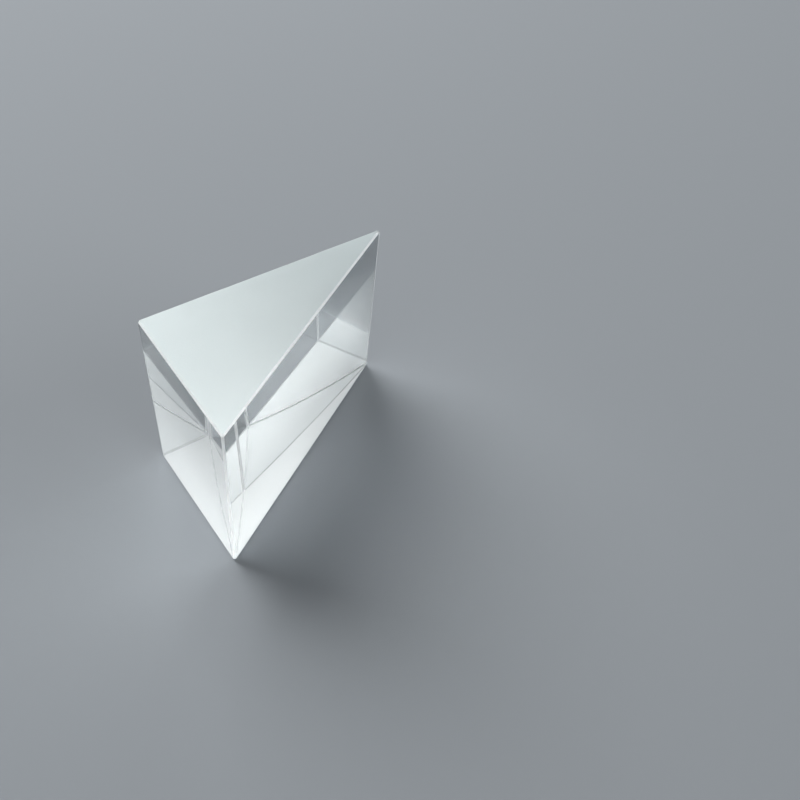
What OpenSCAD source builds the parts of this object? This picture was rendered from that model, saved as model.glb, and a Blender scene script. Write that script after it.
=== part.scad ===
// Right angle prism of optical glass with angles of 30, 60 and 90 degrees.
// The short leg and the hypotenuse are polished faces. The long leg carries
// a mirror film under black protective paint, and both triangular ends are
// finely ground. Every edge has a narrow ground bevel, so that it can't chip.
//
// The part stands on one ground end, with +Z along its height, the long leg
// along X at the back (+Y) and the hypotenuse at the front. Its origin is
// the middle of its own box, on the plane it stands on.

/* [Glass] */
// Length of the hypotenuse between the sharp corners, before its bevels
hypotenuse = 30; // [10:0.5:100]
// Angle at the sharp corner, between the long leg and the hypotenuse
sharp_angle = 30; // [20:1:45]
// Height of the glass between its two ground ends
height = 20; // [6:0.5:80]

/* [Bevels] */
// Leg of the 45 degree bevel around both ends
end_bevel = 0.15; // [0.05:0.05:0.5]
// Flat width of the upright bevel on the right-angled edge
square_bevel = 0.3; // [0.05:0.05:0.8]
// Flat width of the upright bevel on the blunt edge, short leg to hypotenuse
blunt_bevel = 0.25; // [0.05:0.05:0.8]
// Flat width of the upright bevel on the sharp edge, long leg to hypotenuse
sharp_bevel = 0.35; // [0.05:0.05:0.8]

/* [Back paint] */
// Thickness of the black paint over the mirror film
paint_thickness = 0.1; // [0.05:0.05:0.3]
// Bare margin between the paint and the bevels, along the sides and the foot
paint_margin = 0.05; // [0:0.05:0.5]
// Bare strip between the top bevel and the paint, at the sharp edge
strip_at_sharp = 0.1; // [0:0.05:1]
// Bare strip between the top bevel and the paint, at the right-angled edge
strip_at_square = 0.35; // [0:0.05:1]

/* [Hidden] */

// How far a cutter reaches past what it cuts
over = 0.5;

// The two legs of the triangle, and the third angle
long_leg = hypotenuse * cos(sharp_angle);
short_leg = hypotenuse * sin(sharp_angle);
blunt_angle = 90 - sharp_angle;

// Distance from a sharp corner to either end of its bevel, along the sides:
// a flat of this width across a corner of this angle
function setback(flat, angle) = flat / (2 * sin(angle / 2));

square_cut = setback(square_bevel, 90);
blunt_cut = setback(blunt_bevel, blunt_angle);
sharp_cut = setback(sharp_bevel, sharp_angle);

// The three corners, from above, with the right angle at the back left
square_corner = [0, 0];
blunt_corner = [0, -short_leg];
sharp_corner = [long_leg, 0];

// Unit vectors that run towards the sharp corner along the hypotenuse,
// and from the right angle along either leg
along_hypotenuse = [cos(sharp_angle), sin(sharp_angle)];
along_long_leg = [1, 0];
along_short_leg = [0, -1];

// The six corners of the bevelled triangle, anticlockwise from above
outline = [
    square_corner + square_cut * along_short_leg,
    blunt_corner - blunt_cut * along_short_leg,
    blunt_corner + blunt_cut * along_hypotenuse,
    sharp_corner - sharp_cut * along_hypotenuse,
    sharp_corner - sharp_cut * along_long_leg,
    square_corner + square_cut * along_long_leg,
];

// The middle of the box around the glass and its paint
box_middle = [
    (min([for (p = outline) p.x]) + max([for (p = outline) p.x])) / 2,
    (min([for (p = outline) p.y]) + paint_thickness) / 2,
];

// A bar with a triangular section that takes the 45 degree bevel off the
// upper rim, along the side of the outline from point a to point b
module rim_cutter(a, b) {
    side = b - a;
    translate([a.x, a.y, height])
        rotate([0, 0, atan2(side.y, side.x)])
            translate([-over, 0, 0])
                rotate([90, 0, 90])
                    linear_extrude(norm(side) + 2 * over)
                        polygon([
                            [end_bevel + over, over],
                            [-over, -end_bevel - over],
                            [-over, over],
                        ]);
}

// All six bevels around the upper end
module rim_cutters() {
    corners = len(outline);
    for (i = [0 : corners - 1])
        rim_cutter(outline[i], outline[(i + 1) % corners]);
}

module prism_glass() {
    color([0.82, 0.90, 0.92, 0.55])
        translate([-box_middle.x, -box_middle.y, 0])
            difference() {
                linear_extrude(height) polygon(outline);
                rim_cutters();
                translate([0, 0, height]) mirror([0, 0, 1]) rim_cutters();
            }
}

// One film on the long leg, with its upper edge a little out of level
module back_paint() {
    near_square = square_cut + paint_margin;
    near_sharp = long_leg - sharp_cut - paint_margin;
    foot = end_bevel + paint_margin;
    top = height - end_bevel;
    color([0.02, 0.03, 0.035])
        translate([-box_middle.x, -box_middle.y, 0])
            translate([0, paint_thickness, 0])
                rotate([90, 0, 0])
                    linear_extrude(paint_thickness)
                        polygon([
                            [near_square, foot],
                            [near_sharp, foot],
                            [near_sharp, top - strip_at_sharp],
                            [near_square, top - strip_at_square],
                        ]);
}

prism_glass();
back_paint();
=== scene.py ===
# %% [markdown]
# # A right angle prism, dressed for its portrait
#
# The real object is a block of optical glass about as long as a thumb joint. Its
# plan is a triangle with angles of 90, 60 and 30 degrees. Two upright faces are
# polished, the third is a mirror under black paint, and both triangular ends are
# ground matt. This lesson makes the glass, the coat on its back, their finishes
# and a small studio, one cell at a time. Lengths written here are millimetres,
# and one factor turns them into Blender's metres.

import math

import bpy
import numpy as np
from mathutils import Matrix, Vector


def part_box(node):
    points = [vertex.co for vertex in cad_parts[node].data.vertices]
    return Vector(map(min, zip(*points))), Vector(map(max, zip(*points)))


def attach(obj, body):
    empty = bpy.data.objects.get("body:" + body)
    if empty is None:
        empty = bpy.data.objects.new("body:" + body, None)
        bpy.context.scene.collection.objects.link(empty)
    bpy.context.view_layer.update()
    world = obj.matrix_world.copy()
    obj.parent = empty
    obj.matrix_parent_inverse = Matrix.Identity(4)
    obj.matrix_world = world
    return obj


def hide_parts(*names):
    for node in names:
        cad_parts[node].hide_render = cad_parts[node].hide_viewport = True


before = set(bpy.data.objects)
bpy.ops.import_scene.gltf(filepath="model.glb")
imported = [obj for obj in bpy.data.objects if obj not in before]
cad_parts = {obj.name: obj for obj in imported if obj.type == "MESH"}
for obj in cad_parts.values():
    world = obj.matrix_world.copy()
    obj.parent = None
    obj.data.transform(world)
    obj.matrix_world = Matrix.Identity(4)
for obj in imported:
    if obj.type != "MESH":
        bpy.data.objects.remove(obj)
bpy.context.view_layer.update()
MM = 0.001

# %% [markdown]
# ## The sizes that drive everything
#
# A prism of this kind is sold by its hypotenuse, its angles and its height. The
# sharp edges of cut glass chip, so a grinder takes them off with narrow flats:
# three that run up the corners and one all round each end. They could be cut
# later with a Bevel modifier, but every flat here has its own width, so they are
# worked out with the outline instead.

# %% Driving sizes
HYPOTENUSE = 30.0
SHARP_ANGLE = math.radians(30)
BLUNT_ANGLE = math.radians(60)
SQUARE_ANGLE = math.radians(90)
LONG_LEG = HYPOTENUSE * math.cos(SHARP_ANGLE)
SHORT_LEG = HYPOTENUSE * math.sin(SHARP_ANGLE)
END_BEVEL = 0.15
SQUARE_FLAT = 0.3
BLUNT_FLAT = 0.25
SHARP_FLAT = 0.35

glass_low, glass_high = (np.array(corner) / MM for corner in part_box("prism_glass"))
HEIGHT = glass_high[2] - glass_low[2]
print("legs, mm:", round(LONG_LEG, 3), round(SHORT_LEG, 3), "height:", round(HEIGHT, 3))

# %% [markdown]
# ## Edges ground by hand
#
# A flat that was ground by hand is never quite even. Its width wanders slowly,
# and here and there the glass has lost a tiny flake. Both can be had from
# numbers alone: slow wandering is a row of random heights joined by smooth
# waves, and a flake is a bell curve. They only ever widen a flat, so the glass
# stays inside the size of the solid part, and the big faces stay perfectly flat.
# Each line that wanders is given a seed of its own, so no two wander alike.

# %% Wandering and nicks
EDGE_STEP = 0.25
WANDER_LENGTH = 2.5
WANDER_WIDTH = 0.02
NICK_WIDTH = 0.04
NICK_REACH = (0.2, 0.4)
NICKS_PER_MM = 0.15


def wander(places, length, seed):
    """Random heights from 0 to 1, one every length, joined by half waves of a cosine."""
    heights = np.random.default_rng(seed).random(int(places.max() / length) + 2)
    before = np.floor(places / length).astype(int)
    ease = 0.5 - 0.5 * np.cos(np.pi * (places / length - before))
    return heights[before] * (1 - ease) + heights[before + 1] * ease


def nicks(places, seed):
    """The sum of bell curves at random places, each with its own reach and a height of up to 1."""
    rng = np.random.default_rng(seed)
    shape = (max(2, int(places.max() * NICKS_PER_MM)), 1)
    middle = rng.uniform(0, places.max(), shape)
    reach = rng.uniform(*NICK_REACH, shape)
    height = rng.random(shape) ** 2
    return (height * np.exp(-(((places - middle) / reach) ** 2))).sum(axis=0)


def wear(places, seed):
    """How much wider than its drawn width a ground flat is at each place along it, in mm."""
    return WANDER_WIDTH * wander(places, WANDER_LENGTH, seed) + NICK_WIDTH * nicks(places, seed + 1)


sample = wear(np.arange(0, LONG_LEG, EDGE_STEP), 1)
print("a long flat is wider by, mm:", sample.min().round(3), "to", sample.max().round(3))

# %% [markdown]
# ## The outline at every height
#
# Seen from above, the block is the triangle with its three corners cut off, so
# its outline has six corners. A flat of a given width cuts each side of its
# corner back by half that width over the sine of half the angle. Because the
# flats wander on their way up, the six corners slide a little along the sides
# from one height to the next, but never off them.

# %% Six corners, level by level
rows = int(HEIGHT / EDGE_STEP)
rise = np.linspace(0, 1, rows + 1)


def cut_back(flat, angle, seed):
    """Per level, from the sharp corner to the flat's end: (flat + wear) / (2 sin(angle / 2))."""
    return (flat + wear(rise * HEIGHT, seed)) / (2 * math.sin(angle / 2))


def corners_by_level():
    """Each sharp corner moved along its two sides by its cut, anticlockwise from below the right angle."""
    square = np.array([glass_low[0], glass_high[1]])
    blunt = square + [0, -SHORT_LEG]
    sharp = square + [LONG_LEG, 0]
    down = np.array([0.0, -1.0])
    right = np.array([1.0, 0.0])
    slope = np.array([math.cos(SHARP_ANGLE), math.sin(SHARP_ANGLE)])
    square_cut = cut_back(SQUARE_FLAT, SQUARE_ANGLE, 11)[:, None]
    blunt_cut = cut_back(BLUNT_FLAT, BLUNT_ANGLE, 13)[:, None]
    sharp_cut = cut_back(SHARP_FLAT, SHARP_ANGLE, 15)[:, None]
    six = [
        square + square_cut * down,
        blunt - blunt_cut * down,
        blunt + blunt_cut * slope,
        sharp - sharp_cut * slope,
        sharp - sharp_cut * right,
        square + square_cut * right,
    ]
    return np.stack(six, axis=1)


corners = corners_by_level()
print("levels and corners:", corners.shape[:2], "outline, mm:", np.ptp(corners, axis=(0, 1)).round(3))

# %% [markdown]
# ## One skin for the whole block
#
# The skin is a grid with two parameters: one runs round the outline, the other
# climbs from the lower end to the upper one. The first and last rows are the
# ground bevels, which lean in towards the ends, and two flat caps close them.
# Glass has to be one closed skin, because light bends where it goes in and again
# where it comes out. Round each end the bevel wanders too: its line on the end
# only moves in, and its line on the sides only moves away from the end.

# %% The skin as a grid
SHORT_SIDE = 1.0

side_lengths = np.linalg.norm(np.roll(corners[0], -1, axis=0) - corners[0], axis=1)
side_steps = np.maximum(2, (side_lengths / EDGE_STEP).astype(int))
side = np.repeat(np.arange(6), side_steps)
along = np.concatenate([np.arange(steps) / steps for steps in side_steps])
columns = len(side)
distance = np.concatenate([[0], np.cumsum(side_lengths)])[side] + along * side_lengths[side]


def mitred(outline, width):
    """The outline moved in by a width, each corner along the sum of its side normals, and the normals."""
    edge = np.roll(outline, -1, axis=0) - outline
    edge = edge / np.linalg.norm(edge, axis=1, keepdims=True)
    normal = np.stack([-edge[:, 1], edge[:, 0]], axis=1)
    before = np.roll(normal, 1, axis=0)
    lean = 1 + (before * normal).sum(axis=1, keepdims=True)
    return outline + (before + normal) / lean * width, normal


def between_corners(six):
    """Points on the straight line from each corner to the next, at the share given by along."""
    following = np.roll(six, -1, axis=-2)
    share = along[:, None]
    return six[..., side, :] * (1 - share) + following[..., side, :] * share


def end_ring(outline, seed):
    """A bevel's inner line: mitred, then moved in by wear times 4 share (1 - share) on the long sides."""
    inner, normal = mitred(outline, END_BEVEL)
    fade = 4 * along * (1 - along) * (side_lengths[side] > SHORT_SIDE)
    return between_corners(inner) + normal[side] * (fade * wear(distance, seed))[:, None]


def block_skin():
    """Rows of points: the lower bevel's inner line, the upright faces, the upper bevel's inner line."""
    lower = END_BEVEL + wear(distance, 21)
    upper = HEIGHT - END_BEVEL - wear(distance, 23)
    walls = between_corners(corners)
    heights = lower + (upper - lower) * rise[:, None]
    walls = np.concatenate([walls, heights[..., None]], axis=2)
    base = np.column_stack([end_ring(corners[0], 25), np.zeros(columns)])
    top = np.column_stack([end_ring(corners[-1], 27), np.full(columns, HEIGHT)])
    return np.concatenate([base[None], walls, top[None]])


skin = block_skin()
skin[..., 2] += glass_low[2]
print("skin: rows, columns:", skin.shape[:2], "mm:", np.ptp(skin, axis=(0, 1)).round(3))

# %% [markdown]
# ## From arrays to a piece
#
# Points go into a mesh as one array, and so do the faces of a grid: the face in
# row r and column c joins the points at r and r + 1, c and c + 1. A piece keeps
# its object at the origin, with its place in its points, and rides on the part.

# %% Mesh helpers
def grid_faces(shape, closed):
    """Four corners of every grid face, anticlockwise as seen from outside when the rows climb."""
    row_count, column_count = shape
    row, column = np.mgrid[0 : row_count - 1, 0 : column_count - (not closed)]
    after = (column + 1) % column_count
    low = row * column_count
    high = low + column_count
    return np.stack([low + column, low + after, high + after, high + column], axis=-1).reshape(-1, 4)


def new_piece(name, points, faces, slots, materials):
    """A mesh of points in mm and faces, with the number of each face's material."""
    mesh = bpy.data.meshes.new(name)
    mesh.from_pydata((points * MM).tolist(), [], faces)
    for material in materials:
        mesh.materials.append(material)
    mesh.polygons.foreach_set("material_index", slots)
    mesh.update()
    piece = bpy.data.objects.new(name, mesh)
    bpy.context.scene.collection.objects.link(piece)
    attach(piece, "root")
    print(name, "faces:", len(mesh.polygons), "points:", len(mesh.vertices))
    return piece


# %% [markdown]
# ## Shader arithmetic
#
# A pattern reads better as a sum than as a chain of nodes. A Term wraps a socket,
# and Python's operators on it add Math nodes. A Recipe is one material, which
# starts from a Principled shader, and its add method makes any other node.

# %% Terms
class Term:
    """A socket in a sum. Each operator adds one Math node and gives back its output."""

    def __init__(self, recipe, socket):
        self.recipe = recipe
        self.socket = socket

    def math(self, operation, first, second):
        return self.recipe.add("ShaderNodeMath", {"operation": operation}, {0: first, 1: second})

    def __add__(self, other):
        return self.math("ADD", self, other)

    def __radd__(self, other):
        return self.math("ADD", other, self)

    def __sub__(self, other):
        return self.math("SUBTRACT", self, other)

    def __rsub__(self, other):
        return self.math("SUBTRACT", other, self)

    def __mul__(self, other):
        return self.math("MULTIPLY", self, other)

    def __rmul__(self, other):
        return self.math("MULTIPLY", other, self)


# %% Recipes
SPECK_CORE = 0.7


class Recipe:
    """The nodes of one material, or of the world, and the shader that they feed."""

    def __init__(self, owner, shader="Principled BSDF", **plain):
        owner.use_nodes = True
        self.owner = owner
        self.nodes = owner.node_tree.nodes
        self.links = owner.node_tree.links
        self.shader = self.nodes[shader]
        for socket, value in plain.items():
            self.shader.inputs[socket.replace("_", " ")].default_value = value

    def add(self, kind, settings, inputs, output=0):
        """A node of this type: its settings first, then its sockets, each a Term or a plain value."""
        node = self.nodes.new(kind)
        for setting, value in settings.items():
            setattr(node, setting, value)
        for socket, value in inputs.items():
            self.feed(node.inputs[socket], value)
        return Term(self, node.outputs[output])

    def feed(self, socket, value):
        """Links a Term to a socket, or sets the socket to a plain value."""
        if isinstance(value, Term):
            self.links.new(value.socket, socket)
        else:
            socket.default_value = value

    def set(self, socket, value):
        """Feeds one of the shader's own sockets."""
        self.feed(self.shader.inputs[socket], value)

    def noise(self, size, detail=2.0):
        """Soft noise from 0 to 1, whose patches are about this many mm across."""
        place = self.add("ShaderNodeTexCoord", {}, {}, "Object")
        inputs = {"Vector": place, "Scale": 1 / (size * MM), "Detail": detail}
        return self.add("ShaderNodeTexNoise", {}, inputs, "Fac")

    def specks(self, spacing, radius):
        """1 in the core of round specks of this radius in mm, about a spacing apart, and 0 outside them."""
        place = self.add("ShaderNodeTexCoord", {}, {}, "Object")
        inputs = {"Vector": place, "Scale": 1 / (spacing * MM)}
        cells = self.add("ShaderNodeTexVoronoi", {}, inputs, "Distance")
        limits = {"From Min": radius / spacing, "From Max": SPECK_CORE * radius / spacing}
        return self.add("ShaderNodeMapRange", {}, {"Value": cells, **limits})

    def spread(self, value, low, high):
        """Stretches the part of a noise from low to high so that it fills 0 to 1."""
        return self.add("ShaderNodeMapRange", {}, {"Value": value, "From Min": low, "From Max": high})

    def blend(self, amount, first, second):
        """A colour that goes from the first to the second as the amount goes from 0 to 1."""
        return self.add("ShaderNodeMix", {"data_type": "RGBA"}, {0: amount, 6: first, 7: second}, 2)

    def bump(self, height, depth):
        """Tips the surface as if height, from 0 to 1, stood up by this depth in mm."""
        settings = {"Strength": 1.0, "Distance": depth * MM, "Height": height}
        self.set("Normal", self.add("ShaderNodeBump", {}, settings))


def finish(name, **plain):
    """A new material's recipe."""
    return Recipe(bpy.data.materials.new(name), **plain)


print("operators:", [name for name in vars(Term) if name.startswith("__r")])

# %% [markdown]
# ## Polished glass
#
# The polished faces are almost nothing to look at: what shows is the inside of
# the block. Clear glass is a Principled shader with full transmission, no
# roughness and the index of crown glass. What gives it away as a real face is a
# breath of colour and a few motes of dust, which are duller than the polish. The
# motes are spots in the cells of a Voronoi texture, which costs far less than
# modelling them.

# %% Finish: polished glass
CROWN_INDEX = 1.517


def polished_glass():
    """Clear glass with motes of dust."""
    recipe = finish("polished_glass", IOR=CROWN_INDEX, Transmission_Weight=1.0)
    motes = recipe.specks(4.0, 0.06)
    tint = recipe.blend(recipe.noise(9.0), (0.985, 0.997, 1.0, 1), (0.995, 1.0, 0.998, 1))
    recipe.set("Base Color", recipe.blend(motes, tint, (0.8, 0.82, 0.83, 1)))
    recipe.set("Roughness", motes * 0.5)
    return recipe.owner


# %% [markdown]
# ## Ground glass
#
# Both ends and all the flats were ground with grit and left so. Light goes
# through them but is scattered on the way, so they look like frost that glows
# with whatever the block holds. Grit leaves a grain of tiny pits, and grinding
# leaves soft clouds a few millimetres wide. One noise for each is enough: the
# grain tips the surface through a bump and roughens its peaks, and both together
# move the colour by a shade. The six ground finishes share this and differ in
# colour, in how much light they let through, and in how fine they are. The upper
# end and the flat round the lower end are painted darker than the rest, and the
# lower flat under the mirror darker still: that is painted shade.

# %% Finish: ground glass
GRAIN = 0.12
CLOUDS = 5.0
GRAIN_SHARE = 0.4
CLOUD_SHARE = 0.6
GRAIN_ROUGHNESS = 0.16


def ground(name, pale, dark, transmission, depth, roughness=0.62):
    """Scattering glass: grain and clouds between two shades of one colour."""
    recipe = finish(name, IOR=CROWN_INDEX, Transmission_Weight=transmission)
    grain = recipe.spread(recipe.noise(GRAIN, 3.0), 0.25, 0.75)
    clouds = recipe.spread(recipe.noise(CLOUDS), 0.3, 0.7)
    recipe.set("Base Color", recipe.blend(clouds * CLOUD_SHARE + grain * GRAIN_SHARE, dark, pale))
    recipe.set("Roughness", roughness + grain * GRAIN_ROUGHNESS)
    recipe.bump(grain, depth)
    return recipe.owner


def ground_end_painted_shade():
    """The upper end, which shows, in a darker cyan-grey than the lower end of the same glass: painted
    shade.
    """
    return ground("ground_end_painted_shade", (0.68, 0.745, 0.745, 1), (0.64, 0.705, 0.705, 1), 0.9, 0.004)


def ground_rest():
    """The lower end, which lies on the floor, so that its light only goes back up into the glass."""
    return ground("ground_rest", (0.98, 0.98, 0.98, 1), (0.95, 0.955, 0.955, 1), 0.0, 0.002)


def ground_corner():
    """The flats up the three corners, which glow with the light inside."""
    return ground("ground_corner", (0.98, 0.98, 0.98, 1), (0.92, 0.925, 0.925, 1), 0.85, 0.006)


def ground_lip():
    """The flat round the upper end, done last on a finer stone, so that it catches the light."""
    return ground("ground_lip", (0.98, 0.98, 0.98, 1), (0.92, 0.925, 0.925, 1), 0.85, 0.006, 0.3)


def ground_foot():
    """The flat round the lower end, greyed by the shade it stands in."""
    return ground("ground_foot", (0.93, 0.935, 0.935, 1), (0.85, 0.86, 0.86, 1), 0.5, 0.004)


def ground_heel_painted_shade():
    """The lower flat under the mirror, in a darker grey than the other flats: painted shade."""
    return ground("ground_heel_painted_shade", (0.66, 0.67, 0.67, 1), (0.56, 0.57, 0.57, 1), 0.2, 0.004)


# %% [markdown]
# ## The mirror and its paint
#
# The back face carries a film of aluminium, which is a mirror when seen through
# the glass. From behind, the film hides under black paint, and shows as a pale
# satin strip where the paint stops short. The mirror is metal with no roughness
# and a trace of uneven colour. The paint is nearly black, with a satin skin that
# varies a little and a sprinkling of dust caught in it.

# %% Finishes: mirror, bare film and paint
def mirror_film():
    """Aluminium against the glass, with rare pinholes."""
    recipe = finish("mirror_film", Metallic=1.0, Roughness=0.0)
    film = recipe.blend(recipe.noise(6.0), (0.86, 0.875, 0.88, 1), (0.9, 0.91, 0.915, 1))
    recipe.set("Base Color", recipe.blend(recipe.specks(3.0, 0.04), film, (0.3, 0.31, 0.32, 1)))
    return recipe.owner


def bare_film():
    """The outside of the film, satin and slightly stained."""
    recipe = finish("bare_film", Metallic=0.4)
    stain = recipe.noise(0.8, 4.0)
    recipe.set("Base Color", recipe.blend(stain, (0.78, 0.79, 0.79, 1), (0.92, 0.93, 0.93, 1)))
    recipe.set("Roughness", 0.35 + stain * 0.2)
    return recipe.owner


def black_paint():
    """Black lacquer: mottled gloss, fine ripple and motes of pale dust."""
    recipe = finish("black_paint", IOR=1.5, Specular_IOR_Level=0.2)
    mottle = recipe.spread(recipe.noise(3.0, 4.0), 0.3, 0.7)
    dust = recipe.specks(1.6, 0.05)
    lacquer = recipe.blend(mottle, (0.002, 0.004, 0.005, 1), (0.005, 0.008, 0.009, 1))
    recipe.set("Base Color", recipe.blend(dust, lacquer, (0.09, 0.1, 0.1, 1)))
    recipe.set("Roughness", 0.22 + mottle * 0.12 + dust * 0.3)
    recipe.bump(recipe.noise(0.35, 3.0), 0.006)
    return recipe.owner


# %% [markdown]
# ## The glass block
#
# The skin and its two caps become one piece. Each column of the grid knows its
# side, so a short table of finishes, one per side, gives every upright face its
# material: the short leg, the blunt flat, the hypotenuse, the sharp flat, the
# long leg with the mirror, and the square flat.

# %% Piece: the glass block
CLEAR, FROSTED, REST, CORNER, LIP, FOOT, HEEL, MIRROR = range(8)
side_finish = np.array([CLEAR, CORNER, CLEAR, CORNER, MIRROR, CORNER])
mirror_side = side_finish.tolist().index(MIRROR)


def block_piece():
    """The grid's faces, then the lower cap seen from below and the upper cap seen from above."""
    faces = grid_faces(skin.shape[:2], closed=True)
    slots = np.tile(side_finish[side], (len(skin) - 1, 1))
    slots[0] = np.where(side == mirror_side, HEEL, FOOT)
    slots[-1] = LIP
    ring = np.arange(columns)
    caps = [ring[::-1].tolist(), (ring + (len(skin) - 1) * columns).tolist()]
    materials = [
        polished_glass(),
        ground_end_painted_shade(),
        ground_rest(),
        ground_corner(),
        ground_lip(),
        ground_foot(),
        ground_heel_painted_shade(),
        mirror_film(),
    ]
    slots = slots.ravel().tolist() + [REST, FROSTED]
    return new_piece("glass_block", skin.reshape(-1, 3), faces.tolist() + caps, slots, materials)


glass_block = block_piece()
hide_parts("prism_glass")

# %% [markdown]
# ## The coat on the back
#
# The paint was brushed on by hand. Its rim is ragged, though less along the
# foot, and thins out over its last third of a millimetre. It stops short of the
# upper bevel along a line that is not quite level. The paint is a grid over two
# parameters, across and up, whose four border lines wander, and whose thickness
# follows a quarter of an ellipse in from the rim. Under it lies the aluminium
# film, a flat sheet that reaches the flats and shows where the paint does not.
# Each is two sheets, one towards the glass and one outwards, joined by a band of
# faces round their borders, so it is closed. Both are one piece with two
# finishes, set a hair off the glass so that no two surfaces share a place.

# %% Places on the coat
paint_low, paint_high = (np.array(corner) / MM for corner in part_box("back_paint"))
GLASS_GAP = 0.001
FILM_BACK = 0.003
PAINT_GAP = 0.005
RIM_WIDTH = 0.3
RIM_STOPS = np.array([0, 0.03, 0.08, 0.15, 0.23])
RAGGED = 0.06
FINE_LENGTH = 0.45
FINE_SHARE = 0.5
SLOW_LENGTH = 1.7
SLOW_SHARE = 0.3
FOOT_SHARE = 0.5
LINE_FALL = 0.25
RIPPLE = 0.012
WAVES = 9
WAVE_LENGTHS = (3, 7)
FEATHER = 0.004
PAINT, FILM = range(2)


def stops(length):
    """Shares from 0 to 1 along a side: even steps, with closer ones inside each rim."""
    middle = np.arange(RIM_WIDTH, length - RIM_WIDTH, EDGE_STEP)
    return np.concatenate([RIM_STOPS, middle, length - RIM_STOPS[::-1]]) / length


def ragged(places, seed):
    """How far in from its drawn line the paint's rim lies: fine and slow wandering plus a few bites."""
    fine = FINE_SHARE * wander(places, FINE_LENGTH, seed)
    slow = SLOW_SHARE * wander(places, SLOW_LENGTH, seed + 1)
    return RAGGED * (fine + slow + nicks(places, seed + 2))


def ripple(across, up, seed):
    """Lacquer's uneven skin, from -1 to 1: the mean of sine waves with random turns, lengths and phases."""
    rng = np.random.default_rng(seed)
    turn = rng.uniform(0, 2 * np.pi, WAVES)
    length = rng.uniform(*WAVE_LENGTHS, WAVES)
    phase = rng.uniform(0, 2 * np.pi, WAVES)
    travel = across[..., None] * np.cos(turn) + up[..., None] * np.sin(turn)
    return np.sin(2 * np.pi * travel / length + phase).mean(axis=-1)


# %% Piece: paint over film
def paint_sheets():
    """Two sheets between four ragged borders, apart by a quarter ellipse of the distance to the rim."""
    width, depth, height = paint_high - paint_low
    share = stops(width)
    climb = stops(height)
    left = (paint_low[0] + ragged(climb * height, 41))[:, None]
    right = (paint_high[0] - ragged(climb * height, 44))[:, None]
    bottom = paint_low[2] + FOOT_SHARE * ragged(share * width, 47)
    top = paint_high[2] - LINE_FALL * (1 - share) - ragged(share * width, 50)
    across = left + (right - left) * share
    up = bottom + (top - bottom) * climb[:, None]
    rim = np.minimum(np.minimum(across - left, right - across), np.minimum(up - bottom, top - up))
    round_off = np.sqrt(1 - (1 - np.clip(rim / RIM_WIDTH, 0, 1)) ** 2)
    full = depth - PAINT_GAP - RIPPLE * (1 + ripple(across, up, 53))
    near = np.full_like(across, paint_low[1] + PAINT_GAP)
    far = near + FEATHER + round_off * (full - FEATHER)
    return np.stack([across, near, up], axis=-1), np.stack([across, far, up], axis=-1)


def border(shape):
    """The outermost points of an open grid, once round: first row, last column, last row, first column."""
    number = np.arange(shape[0] * shape[1]).reshape(shape)
    return np.concatenate([number[0, :-1], number[:-1, -1], number[-1, :0:-1], number[:0:-1, 0]])


def film_sheets():
    """Two flat sheets that reach over the whole mirror face, between its flats."""
    share = stops(1.0)
    left = corners[:, mirror_side + 1, 0].max()
    right = corners[:, mirror_side, 0].min()
    low = skin[1, :, 2].max()
    high = skin[-2, :, 2].min()
    across, up = np.meshgrid(left + (right - left) * share, low + (high - low) * share)
    back = np.full_like(across, glass_high[1])
    near = np.stack([across, back + GLASS_GAP, up], axis=-1)
    far = np.stack([across, back + FILM_BACK, up], axis=-1)
    return near, far


def closed_pair(near, far):
    """Points and faces of two sheets, the near one facing the glass, and a band round their borders."""
    shape = near.shape[:2]
    near_faces = grid_faces(shape, closed=False)
    count = shape[0] * shape[1]
    rim = border(shape)
    after = np.roll(rim, -1)
    band = np.stack([after, rim, rim + count, after + count], axis=1)
    points = np.concatenate([near, far]).reshape(-1, 3)
    return points, np.concatenate([near_faces, near_faces[:, ::-1] + count, band])


def coat_piece():
    """Paint and film in one mesh, so the film's faces count on from the paint's last point."""
    paint_points, paint_faces = closed_pair(*paint_sheets())
    film_points, film_faces = closed_pair(*film_sheets())
    points = np.concatenate([paint_points, film_points])
    faces = np.concatenate([paint_faces, film_faces + len(paint_points)])
    slots = [PAINT] * len(paint_faces) + [FILM] * len(film_faces)
    return new_piece("back_coat", points, faces.tolist(), slots, [black_paint(), bare_film()])


back_coat = coat_piece()
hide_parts("back_paint")

# %% [markdown]
# ## The floor
#
# A plain pale sheet, slightly blue, just below the glass. Clear glass shows it
# through two of its faces, so its shade is also the shade of the bands under the
# prism's upper edges.

# %% Stage: the floor
FLOOR_REACH = 500.0
FLOOR_DROP = 0.02
FLOOR_COLOUR = (0.36, 0.39, 0.42, 1)


def floor():
    """A square of one face."""
    corner = np.array([[-1, -1, 0], [1, -1, 0], [1, 1, 0], [-1, 1, 0]]) * FLOOR_REACH
    mesh = bpy.data.meshes.new("floor")
    mesh.from_pydata(((corner - [0, 0, FLOOR_DROP]) * MM).tolist(), [], [(0, 1, 2, 3)])
    mesh.materials.append(finish("floor_sheet", Base_Color=FLOOR_COLOUR, Roughness=0.9).owner)
    sheet = bpy.data.objects.new("floor", mesh)
    bpy.context.scene.collection.objects.link(sheet)


floor()

# %% [markdown]
# ## Soft light
#
# Glass is lit by what it lets through. The main softbox stands high behind the
# prism. Its light comes in through the frosted end and fills the block, while
# the shadow falls on the floor in front of the polished faces and keeps the
# bands there dark. A weaker, lower one from the front right shines through the
# hypotenuse onto the inside of the base. A lamp's place is given the way a
# photographer would: a compass angle round the prism, a height angle and a
# distance. The walls of the studio are pale too, but matt things would be lit
# by them from all sides and lose their shadow. So the world is bright only for
# rays that are seen, mirrored or let through, which is what glass needs.

# %% Lamps and world
LAMP_DISTANCE = 700.0


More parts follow.
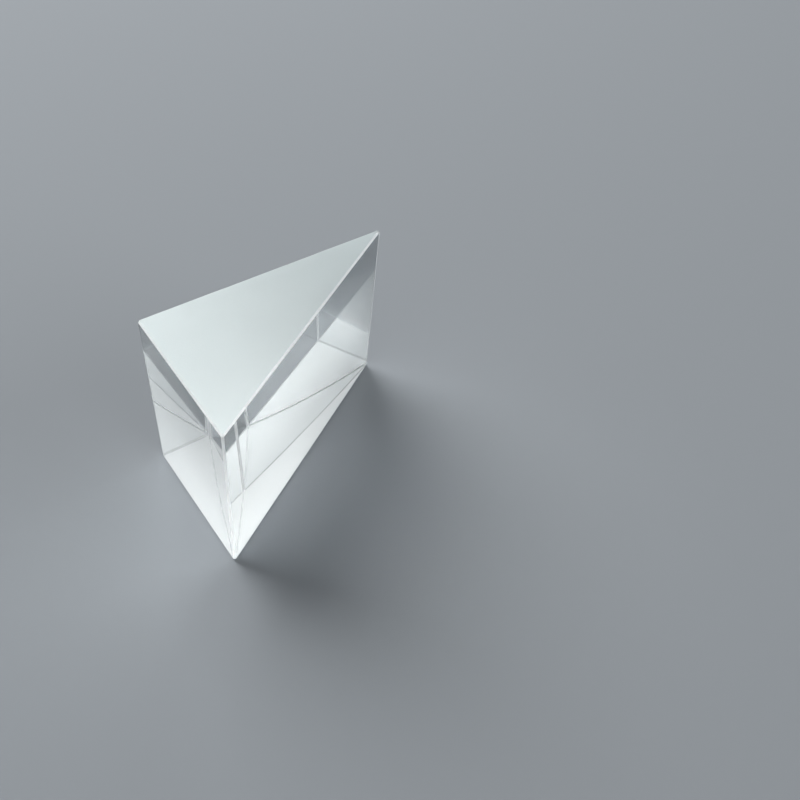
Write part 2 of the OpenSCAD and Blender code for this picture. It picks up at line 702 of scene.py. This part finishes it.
def softbox(name, compass, height, size, watts):
    """A round lamp at an angle from the front, clockwise from above, aimed at the glass."""
    turn = math.radians(compass)
    lift = math.radians(height)
    place = Vector((-math.sin(turn) * math.cos(lift), -math.cos(turn) * math.cos(lift), math.sin(lift)))
    lamp = bpy.data.lights.new(name, "AREA")
    lamp.shape = "DISK"
    lamp.size = size * MM
    lamp.energy = watts
    box = bpy.data.objects.new(name, lamp)
    box.location = place * LAMP_DISTANCE * MM
    box.rotation_euler = place.to_track_quat("Z", "Y").to_euler()
    bpy.context.scene.collection.objects.link(box)


softbox("main_light", compass=174, height=45, size=600, watts=5.2)
softbox("low_light", compass=315, height=20, size=600, watts=1.5)

AIR_COLOUR = (1.0, 1.0, 1.0, 1)
AIR_LIGHT = 0.03
WALL_SHADE = 0.45


def studio_air():
    """The world: faint light on matt things, pale walls for rays that are seen, mirrored or let through."""
    recipe = Recipe(bpy.data.worlds.new("studio_air"), "Background", Color=AIR_COLOUR)
    rays = ["Is Camera Ray", "Is Glossy Ray", "Is Transmission Ray"]
    seen = sum(recipe.add("ShaderNodeLightPath", {}, {}, ray) for ray in rays)
    recipe.set("Strength", AIR_LIGHT + (WALL_SHADE - AIR_LIGHT) * seen)
    return recipe.owner


bpy.context.scene.world = studio_air()

# %% [markdown]
# ## The camera
#
# The camera looks steeply down from the front left, close to the block, so the
# upright edges run together towards the foot of the picture. Its place and its
# three turns were solved from where the prism's corners have to fall, and a
# small shift of the lens moves the prism in the frame without turning the
# camera. The lens is given by how far away a picture 800 units wide would fill
# the frame.

# %% Camera
CAMERA_PLACE = (-31.09, -48.30, 78.92)
CAMERA_TURN = math.radians(47.38)
CAMERA_DOWN = math.radians(52.16)
CAMERA_ROLL = math.radians(12.81)
SENSOR = 36.0
PICTURE_WIDTH = 800
PICTURE_DISTANCE = 899.3
LENS = SENSOR * PICTURE_DISTANCE / PICTURE_WIDTH
SHIFT = (-0.0579, 0.0518)
CLIP_START = 1.0


def camera():
    """Forward from the turn and the dip, right level with the floor, and then both rolled about forward."""
    level = Vector((math.sin(CAMERA_TURN), math.cos(CAMERA_TURN), 0))
    forward = level * math.cos(CAMERA_DOWN) + Vector((0, 0, -math.sin(CAMERA_DOWN)))
    right = Vector((math.cos(CAMERA_TURN), -math.sin(CAMERA_TURN), 0))
    up = right.cross(forward)
    rolled_right = math.cos(CAMERA_ROLL) * right + math.sin(CAMERA_ROLL) * up
    rolled_up = math.cos(CAMERA_ROLL) * up - math.sin(CAMERA_ROLL) * right
    data = bpy.data.cameras.new("camera")
    data.sensor_width = SENSOR
    data.lens = LENS
    data.shift_x, data.shift_y = SHIFT
    data.clip_start = CLIP_START * MM
    view = Matrix((rolled_right, rolled_up, -forward)).transposed().to_4x4()
    view.translation = Vector(CAMERA_PLACE) * MM
    eye = bpy.data.objects.new("camera", data)
    eye.matrix_world = view
    bpy.context.scene.collection.objects.link(eye)
    bpy.context.scene.camera = eye
    print("lens, mm:", round(LENS, 2), "from the glass, mm:", round(Vector(CAMERA_PLACE).length, 1))


camera()

# %% [markdown]
# ## Light paths
#
# Light may bounce from face to face a dozen times before it leaves the block, so
# the renderer is allowed long paths. Two of its habits would darken the inside:
# it blurs sharp reflections that are seen by matt surfaces, and it holds back
# very bright paths. Both are switched off, because the frosted ends are lit by
# exactly those paths.

# %% Render paths
scene = bpy.context.scene
scene.view_settings.view_transform = "Standard"
scene.cycles.max_bounces = 32
scene.cycles.glossy_bounces = 24
scene.cycles.transmission_bounces = 24
scene.cycles.diffuse_bounces = 8
scene.cycles.blur_glossy = 0.0
scene.cycles.sample_clamp_indirect = 0.0
print("longest path:", scene.cycles.max_bounces, "bounces")

# %% [markdown]
# ## The fit
#
# The dressed prism has to fit the solid part.
